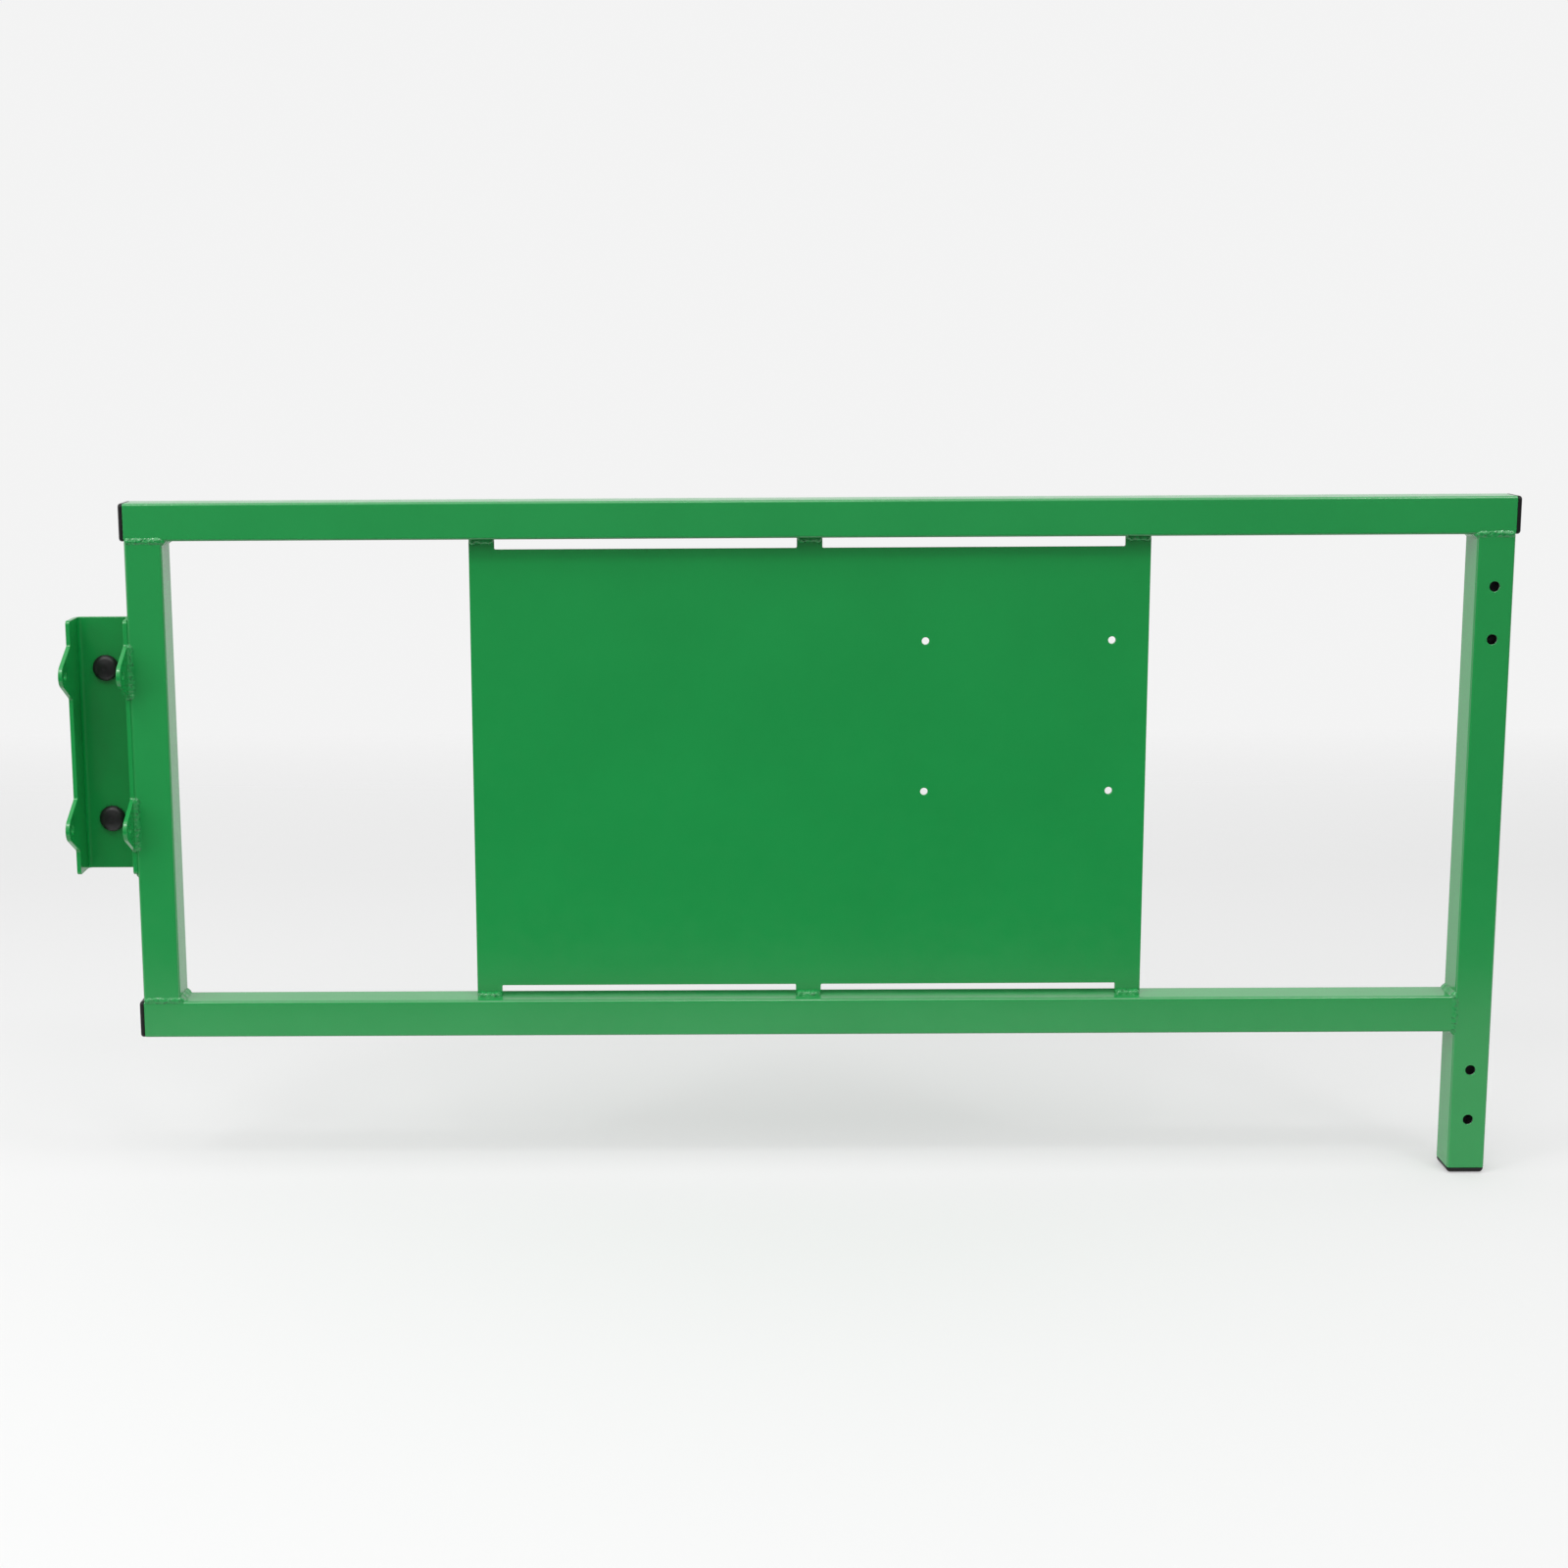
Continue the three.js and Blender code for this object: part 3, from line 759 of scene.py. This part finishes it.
def section(q, flush, legs, width, wide, lift, cove):
    """A point across a run, as its distances outward and away.

    q is -1 at the toe on the other part and 1 at the toe on the part that is welded to it.
    """
    angle = math.pi / 4 * (1 + q)
    c, k = abs(math.cos(angle)), math.sin(angle)
    radius = wide * (c ** cove + k ** cove) ** (-1 / cove)
    out = legs[0] * radius * c + lift * c - SINK
    up = legs[1] * radius * k + lift * k - SINK
    level = Vector((lift - SINK, q * width / 2 * wide))
    return Vector((out, up)).lerp(level, flush)


def root(flush, legs, width, wide):
    """The hidden underside of a run, back from the welded part to the other."""
    corner = ((-1, legs[1] * wide), (-1, -1), (legs[0] * wide, -1))
    level = ((-0.8, width / 2 * wide), (-0.8, 0), (-0.8, -width / 2 * wide))
    return [Vector(a).lerp(Vector(b), flush) for a, b in zip(corner, level)]


def bead(
    name, nodes, stations, seed, legs=(5.6, 5.6), width=7.8, crown=1.1, ripple=0.34, grit=0.45,
    blobs=(), closed=False, cove=0.86, tip=2.6, sway=0.1, shift=0.0,
):
    """A weld run with soft toes: crescents one over another, and thicker where the torch paused.

    legs and width: its size in an inner corner and between level faces.
    crown, ripple and grit: how far it swells, how high its crescents and its pits are.
    blobs: pauses, as (distance along the run, height). cove: under 1 hollow, over 1 full.
    tip: length of a tapered end. sway and shift: how its width wanders and where its middle lies.
    """
    chance = random.Random(seed)
    first, last = stations[0][0], stations[-1][0]
    margin, shortest, longest = 6, 2.2, 3.8
    marks = [first - margin]
    while marks[-1] < last + margin:
        marks.append(marks[-1] + chance.uniform(shortest, longest))
    swell = [chance.uniform(0.4, 1.3) for _ in marks]

    def crescent(s):
        i = max(k for k, m in enumerate(marks) if m <= s)
        f = (s - marks[i]) / (marks[i + 1] - marks[i])
        return swell[i] * math.sqrt(max(0.0, 1 - (2 * f ** 0.8 - 1) ** 2))

    across = 22
    pause = 2.9  # half the length of a pause
    lag = 1.9  # how far the middle of a crescent trails its toes
    no_end = 9  # a closed run is nowhere near an end
    points = []
    for s, origin, outward, away, flush in stations:
        near = no_end if closed else min(s - first, last - s)
        taper = 0.08 + 0.92 * math.sqrt(max(0.0, 1 - (1 - min(near / tip, 1)) ** 2))
        blob = sum(height * math.exp(-((s - place) / pause) ** 2) for place, height in blobs)
        tall = taper * (0.5 + blob + 0.2 * wander(s / 5, seed + 3))
        loose = sway * wander(s / 3.5, seed)
        wide = taper * (0.84 + 0.13 * min(blob, 1.2) + loose + 0.05 * crescent(s))
        drift = shift + 0.6 * wander(s / 8, seed + 5)
        for j in range(across + 1):
            q = 2 * j / across - 1
            hump = (1 - q * q) ** 1.4
            wave = crescent(s + lag * (1 - q * q)) * ripple * taper * (1 - q * q)
            wave = wave * (0.3 + 0.7 * flush)
            at = Vector((s / 2.6, q * 1.7, seed * 3.7))
            pit = (noise.noise(at) + 0.45 * noise.noise(at * 2.3)) * grit
            pit = pit * (1 - abs(q) ** 3) * taper * (0.6 + 0.4 * flush)
            lift = crown * tall * hump * (0.5 + 0.5 * flush) + wave + pit
            n, t = section(q, flush, legs, width, wide, lift, cove)
            points.append(origin + outward * n + away * (t + drift * flush))
        for n, t in root(flush, legs, width, wide):
            points.append(origin + outward * n + away * (t + drift * flush))
    size = len(points) // len(stations)
    if closed:
        points = points[:-size]
    faces = rings_to_faces(len(points) // size, size, closed)
    if not closed:
        faces += end_caps(len(points), size)
    piece(name, points, faces, WELD, nodes)


def chance_blobs(seed, start, stop, step):
    """Pauses of chance height, about a step apart, for the sides that the photo hardly shows."""
    chance = random.Random(seed)
    places = range(start, stop, step)
    return [(p + chance.uniform(-1, 1), chance.uniform(0.2, 0.9)) for p in places]


def seam():
    """Powder coat that bridges the groove between the bracket's flange and the left post."""
    profile = [(-0.4, 0.7), (0.0, 0.9), (0.35, 1.0), (0.8, 0.85), (1.3, 0.6)]
    profile += [(1.3, 2.4), (-0.4, 2.4)]
    short = 1.5  # it stops this far inside the bracket's ends
    low, high = bracket_box[0][2] + short, bracket_box[1][2] - short
    points = [(x, y, z) for z in (low, high) for x, y in profile]
    size = len(profile)
    faces = rings_to_faces(2, size, False) + end_caps(2 * size, size)
    piece("bracket_seam_paint", points, faces, PAINT, [], SOFT_CREASE)


rail_box, low_box = gate_box("top_rail"), gate_box("bottom_rail")
leg_box, plate_box = gate_box("leg_post"), gate_box("middle_plate")
bracket_box = gate_box("socket_bracket")
under, above, below = rail_box[0][2], low_box[1][2], low_box[0][2]
post_x, leg_x = TUBE / 2, (leg_box[0][0] + leg_box[1][0]) / 2
knots = [(SIDE + 2.4, 0.9), (LAP + SIDE + 2.4, 0.7)]

# The runs at the posts' ends go round three sides, and a little on at both ends.
FURTHER = 2.2
for corner, x, z, inside, away, shift, seed, pauses in (
    (
        "top_left", post_x, under, X, -Z, -0.3, 11,
        ((1, 0.9), (9.5, 0.5), (14, 0.8), (26, 0.9), (31.5, 1.0)),
    ),
    (
        "top_right", leg_x, under, -X, -Z, -0.3, 21,
        ((1, 1.0), (7, 1.1), (14, 0.9), (31, 0.7)),
    ),
    (
        "bottom_left", post_x, above, X, Z, 1.5, 31,
        ((3, 0.8), (13, 0.8), (18, 0.9), (27, 1.0), (32, 0.7)),
    ),
):
    nodes = ["weld_%s_%s" % (corner, part) for part in ("front", "inside", "back")]
    stop = 2 * LAP + SIDE + FURTHER
    stations = tube_stations((x, TUBE / 2, z), inside, away, -FURTHER, stop)
    blobs = [*pauses, *knots, *chance_blobs(seed, 44, 114, 7)]
    bead("weld_%s_bead" % corner, nodes, stations, seed, blobs=blobs, shift=shift)

rail_end, rail_mid = leg_box[0][0], (above + below) / 2
nodes = ["weld_bottom_right_" + part for part in ("front", "above", "back", "below")]
stations = tube_stations((rail_end, TUBE / 2, rail_mid), Z, -X, 0, 4 * LAP)
blobs = [*knots, *chance_blobs(41, 3, 153, 6)]
bead("weld_bottom_right_bead", nodes, stations, 41, blobs=blobs, closed=True)

TAB_BEAD = 26.6
for edge, z, away, seed, legs, cove in (
    ("top", under, -Z, 50, (4.4, 6.6), 1.6),
    ("bottom", above, Z, 70, (6.2, 5.6), 1.15),
):
    for i in range(3):
        x = plate_box[0][0] + TAB / 2 + (TAB + NOTCH) * i
        for side, y, out in (("front", plate_box[0][1], -Y), ("back", plate_box[1][1], Y)):
            node = "weld_%s_tab_%d_%s" % (edge, i + 1, side)
            seed += 1
            bead(
                node + "_bead", [node], line_stations((x, y, z), out, away, TAB_BEAD), seed, legs,
                crown=2.2, ripple=0.45, grit=0.5, cove=cove,
                blobs=[(4 + seed % 3, 1.0), (13 + seed % 2, 0.8), (22, 1.0)],
            )

EAR_BEAD = 60
bracket_mid = (bracket_box[0][2] + bracket_box[1][2]) / 2
for place_name, z, seed in (
    ("upper", bracket_mid + EAR_PITCH / 2, 91),
    ("lower", bracket_mid - EAR_PITCH / 2, 92),
):
    node = "weld_%s_ear" % place_name
    bead(
        node + "_bead", [node], line_stations((0, 0, z), -Y, X, EAR_BEAD), seed, (4.6, 7.4),
        crown=0.9, ripple=0.3, grit=0.7, cove=0.62, tip=7, sway=0.2,
        blobs=[(3, 1.0), (12, 0.2), (24, 0.4), (37, 0.1), (47, 0.4), (56, 1.5)],
    )

END_BEAD = 33
for end, z, away, seed in (
    ("top", bracket_box[1][2], Z, 95),
    ("bottom", bracket_box[0][2], -Z, 96),
):
    node = "weld_bracket_" + end
    stations = line_stations((0, TUBE / 2, z), -X, away, END_BEAD)
    bead(node + "_bead", [node], stations, seed, (4, 6), blobs=[(4, 0.8), (15, 0.7), (28, 0.9)])
seam()


# ---------------------------------------------------------------- floor, light and camera

# From here on, sizes are in metres of the row frame, but for the card's.
PALE = 0.9  # what the camera sees behind the gate
FLOOR_GREY = 0.68
FLOOR_PALE = 0.4  # share of PALE in the floor's colour, for the camera and reflections
# Grey of the card that paints shade into reflections.
PAINTED_SHADE_GREY = 0.12
MIDDLE = 0.73  # half the rails' length


def blended(tree, factor, first, second):
    mix = tree.nodes.new("ShaderNodeMixShader")
    tree.links.new(factor, mix.inputs["Fac"])
    tree.links.new(first.outputs[0], mix.inputs[1])
    tree.links.new(second.outputs[0], mix.inputs[2])
    return mix


def floor():
    """Pale paper that fades out at a distance.

    Reflections see it end just ahead of the gate, and a dim studio from there on.
    """
    bm = bmesh.new()
    bmesh.ops.create_grid(bm, x_segments=1, y_segments=1, size=6)
    bmesh.ops.translate(bm, verts=bm.verts, vec=(ORIGIN.x + MIDDLE, 0, ORIGIN.z))
    mesh = meshed("studio_floor", bm)
    obj = linked("studio_floor", mesh)
    material, tree, bsdf, coords = shader("studio_floor_paper", (FLOOR_GREY,) * 3, roughness=0.9)
    bsdf.inputs["Specular IOR Level"].default_value = 0.0
    split = tree.nodes.new("ShaderNodeSeparateXYZ")
    tree.links.new(coords, split.inputs[0])
    path = tree.nodes.new("ShaderNodeLightPath")
    ahead = remap(tree, split.outputs["Y"], 0, 1, start=-0.84, end=-0.68)
    further = remap(tree, split.outputs["Y"], 0, 1, start=-3.2, end=-1.4)
    whole = maths(tree, "MULTIPLY", further, path.outputs["Is Camera Ray"])
    ahead = maths(tree, "MAXIMUM", ahead, whole)
    behind = remap(tree, split.outputs["Y"], 1, 0, start=1.4, end=2.8)
    aside = maths(tree, "SUBTRACT", split.outputs["X"], MIDDLE)
    beside = remap(tree, maths(tree, "ABSOLUTE", aside, 0), 1, 0, start=1.9, end=3.0)
    cover = maths(tree, "MULTIPLY", maths(tree, "MULTIPLY", ahead, behind), beside)
    seen = maths(tree, "MAXIMUM", path.outputs["Is Camera Ray"], path.outputs["Is Glossy Ray"])
    pale = tree.nodes.new("ShaderNodeEmission")
    pale.inputs["Color"].default_value = (PALE, PALE, PALE, 1)
    paper = blended(tree, maths(tree, "MULTIPLY", seen, FLOOR_PALE), bsdf, pale)
    clear = tree.nodes.new("ShaderNodeBsdfTransparent")
    faded = blended(tree, cover, clear, paper)
    tree.links.new(faded.outputs[0], tree.nodes["Material Output"].inputs["Surface"])
    mesh.materials.append(material)


def painted_shade_card():
    """A low grey card that only reflections see: painted shade, standing for the shaded wall
    close behind the plate.
    """
    (x0, _, _), (x1, _, _) = plate_box
    short, y, low, high = 4, 60, above + 1, above + 14
    left, right = x0 + short, x1 - short
    corners = [(left, y, low), (right, y, low), (right, y, high), (left, y, high)]
    mesh = meshed("painted_shade_card", skin(corners, [(0, 1, 2, 3)]))
    obj = linked("painted_shade_card", mesh)
    obj.visible_camera = obj.visible_diffuse = obj.visible_shadow = False
    material, _, bsdf, _ = shader("painted_shade_card_paper", (PAINTED_SHADE_GREY,) * 3, roughness=1.0)
    bsdf.inputs["Specular IOR Level"].default_value = 0.0
    mesh.materials.append(material)


def world():
    """White to the camera, and to all else a pale wall behind, a soft dome and a dim front."""
    made = bpy.data.worlds.new("studio")
    bpy.context.scene.world = made
    made.use_nodes = True
    tree = made.node_tree
    back = tree.nodes["Background"]
    coords = tree.nodes.new("ShaderNodeTexCoord")
    split = tree.nodes.new("ShaderNodeSeparateXYZ")
    tree.links.new(coords.outputs["Generated"], split.inputs[0])
    dome = remap(tree, split.outputs["Z"], 0.14, 1.1, start=-0.2, end=0.6)
    wall = remap(tree, split.outputs["Y"], 0.14, 1.1, start=-0.1, end=0.25)
    light = tree.nodes.new("ShaderNodeBackground")
    tree.links.new(maths(tree, "MAXIMUM", dome, wall), light.inputs["Strength"])
    back.inputs["Color"].default_value = (PALE, PALE, PALE, 1)
    path = tree.nodes.new("ShaderNodeLightPath")
    shown = blended(tree, path.outputs["Is Camera Ray"], light, back)
    tree.links.new(shown.outputs[0], tree.nodes["World Output"].inputs["Surface"])


def softbox(name, location, target, width, height, power):
    data = bpy.data.lights.new(name, "AREA")
    data.shape = "RECTANGLE"
    data.size, data.size_y = width, height
    data.energy = power
    obj = linked(name, data)
    obj.location = location
    obj.rotation_euler = (Vector(target) - Vector(location)).to_track_quat("-Z", "Y").to_euler()
    obj.visible_camera = False


def camera():
    """The photograph's camera, fitted to the gate's long edges."""
    data = bpy.data.cameras.new("photo_camera")
    data.sensor_width = 36
    data.lens = 53.818
    data.shift_x = 0.065
    data.shift_y = -0.04914
    data.clip_start, data.clip_end = 0.05, 60
    obj = linked("photo_camera", data)
    obj.location = (0.63281, -2.48910, 0.44415)
    obj.rotation_euler = [math.radians(a) for a in (80.70001, 0.33854, 0.27546)]
    bpy.context.scene.camera = obj


floor()
painted_shade_card()
world()
softbox("ceiling_panel", (0.75, -1.2, 2.1), (0.75, 0, 0), width=4.6, height=2.4, power=44)
softbox("left_panel", (-2.3, -1.0, 0.9), (0.6, 0, 0), width=3.4, height=2.2, power=36)
softbox("left_lamp", (-0.65, -1.3, 2.0), (0.2, 0, 0), width=0.4, height=0.3, power=6)
softbox("middle_lamp", (0.75, -1.3, 2.0), (0.75, 0, 0), width=0.3, height=0.25, power=3)
softbox("right_lamp", (2.1, -1.3, 2.0), (1.2, 0, 0), width=0.4, height=0.3, power=6)
camera()

view = bpy.context.scene.view_settings
view.view_transform = "Standard"
